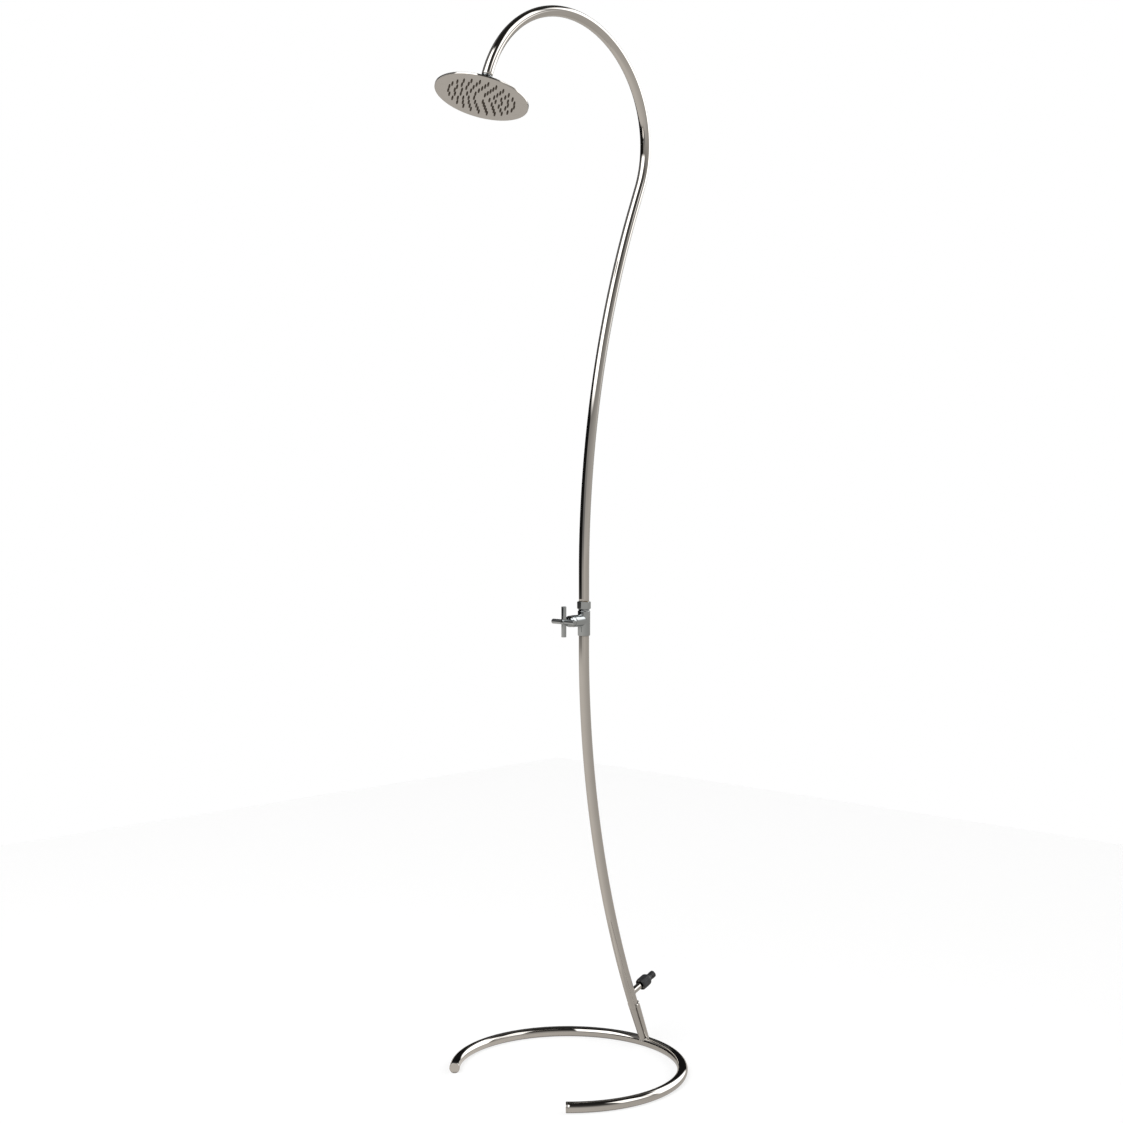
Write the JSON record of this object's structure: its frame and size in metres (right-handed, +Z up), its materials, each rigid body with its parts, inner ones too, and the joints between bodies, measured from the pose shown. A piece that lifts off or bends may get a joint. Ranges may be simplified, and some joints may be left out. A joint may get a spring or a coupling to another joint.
{
  "type": "outdoor shower post",
  "caption": "Free-standing outdoor shower: an open ring of steel tube, a curved column with a stop valve and cross handle, a hook and a round rain head.",
  "frame": {"origin": "centre of the ground ring's circle, on the ground", "axes": "+Z up; +X to the back, where the column stands on the ring; -X to the front, where the ring is open"},
  "size_m": [0.6051, 0.502, 2.2163],
  "materials": {
    "polished_steel": "mirror-polished stainless steel tube",
    "head_steel": "polished stainless steel sheet",
    "chromed_brass": "chrome-plated brass",
    "bare_brass": "machined",
    "black_plastic": "moulded, fine grain",
    "white_acetal": "moulded, smooth",
    "black_rubber": "moulded",
    "grey_silicone": "moulded, satin",
    "alumina": "ground",
    "screw_steel": "turned"
  },
  "bodies": {
    "stand": {"base_ring": "polished_steel", "ring_end_plug_left": "polished_steel", "ring_end_plug_right": "polished_steel", "foot_spigot": "polished_steel", "foot_cradle": "polished_steel", "foot_grub_screws": "screw_steel", "lower_column": "polished_steel", "column_plug": "polished_steel", "inlet_stub": "polished_steel", "inlet_thread_boss": "polished_steel", "connector_washer": "black_rubber", "hose_connector": "black_plastic", "connector_o_ring": "black_rubber", "valve_body": "chromed_brass", "seat_seal": "black_rubber", "fixed_ceramic_disc": "alumina", "headwork_body": "bare_brass", "headwork_o_ring": "black_rubber", "bonnet_shroud": "chromed_brass", "union_nut": "chromed_brass", "union_washer": "black_rubber", "union_tail": "bare_brass", "upper_column": "polished_steel", "hook_bush": "bare_brass", "stem_washer": "black_rubber", "ball_stem": "chromed_brass", "flow_limiter": "white_acetal"},
    "handle": {"moving_ceramic_disc": "alumina", "valve_spindle": "bare_brass", "spindle_o_ring": "black_rubber", "spindle_circlip": "screw_steel", "cross_handle": "chromed_brass", "handle_screw": "screw_steel", "handle_cap": "chromed_brass"},
    "swivel_ring": {"ball_top_ring": "white_acetal"},
    "swivel_seat": {"ball_seat": "black_rubber"},
    "head": {"ball_nut": "chromed_brass", "head_shell": "head_steel", "face_plate": "head_steel", "nozzle_mat": "grey_silicone"}
  },
  "joints": [
    {"name": "handle_turn", "type": "hinge", "parent": "stand", "child": "handle", "pos_m": [-0.01416, 0, 0.95255], "axis": [-1, 0, 0], "range_deg": [0, 90]},
    {"name": "head_spin", "type": "hinge", "parent": "stand", "child": "swivel_ring", "pos_m": [-0.23658, 0, 2.02018], "axis": [0.3123, 0, 0.95], "continuous": true},
    {"name": "head_tilt", "type": "hinge", "parent": "swivel_ring", "child": "swivel_seat", "pos_m": [-0.23658, 0, 2.02018], "axis": [0, 1, 0], "range_deg": [-12, 12]},
    {"name": "head_swing", "type": "hinge", "parent": "swivel_seat", "child": "head", "pos_m": [-0.23658, 0, 2.02018], "axis": [0.95, 0, -0.3123], "range_deg": [-12, 12]}
  ]
}
